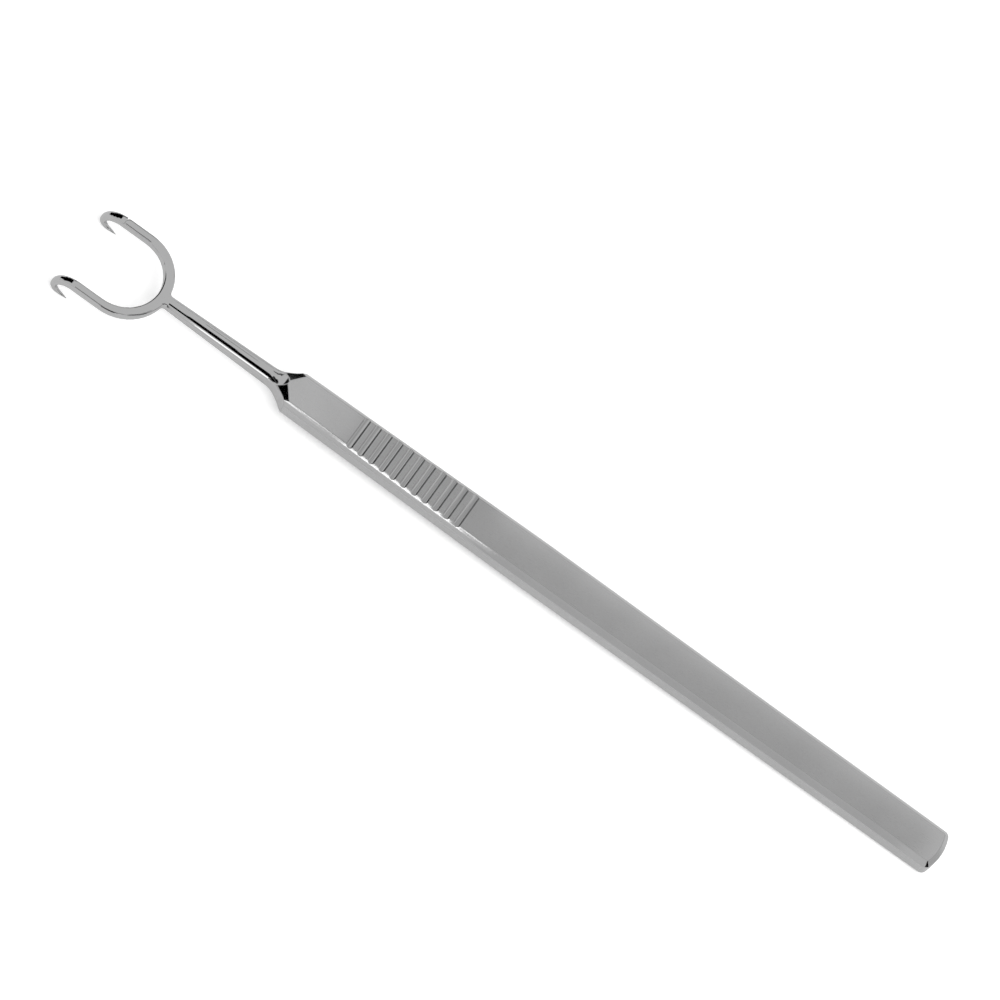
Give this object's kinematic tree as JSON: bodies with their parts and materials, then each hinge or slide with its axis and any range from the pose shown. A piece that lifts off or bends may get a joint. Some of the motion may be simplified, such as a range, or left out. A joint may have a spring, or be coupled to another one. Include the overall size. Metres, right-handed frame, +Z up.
{
  "type": "surgical retractor",
  "caption": "Hand-held steel retractor: a fork with sharp hooked prongs on a slim shank, and a flat handle with finger grooves.",
  "frame": {"origin": "middle of the footprint, on the surface that the retractor lies on", "axes": "+X from the hooks to the butt of the handle, +Z up from the surface, +Y across the handle"},
  "size_m": [0.1398, 0.0132, 0.0057],
  "materials": {
    "retractor": "satin on the faces of the handle, mirror polished from its shoulder to the hooks"
  },
  "bodies": {
    "root": {"retractor": "retractor"}
  },
  "joints": []
}
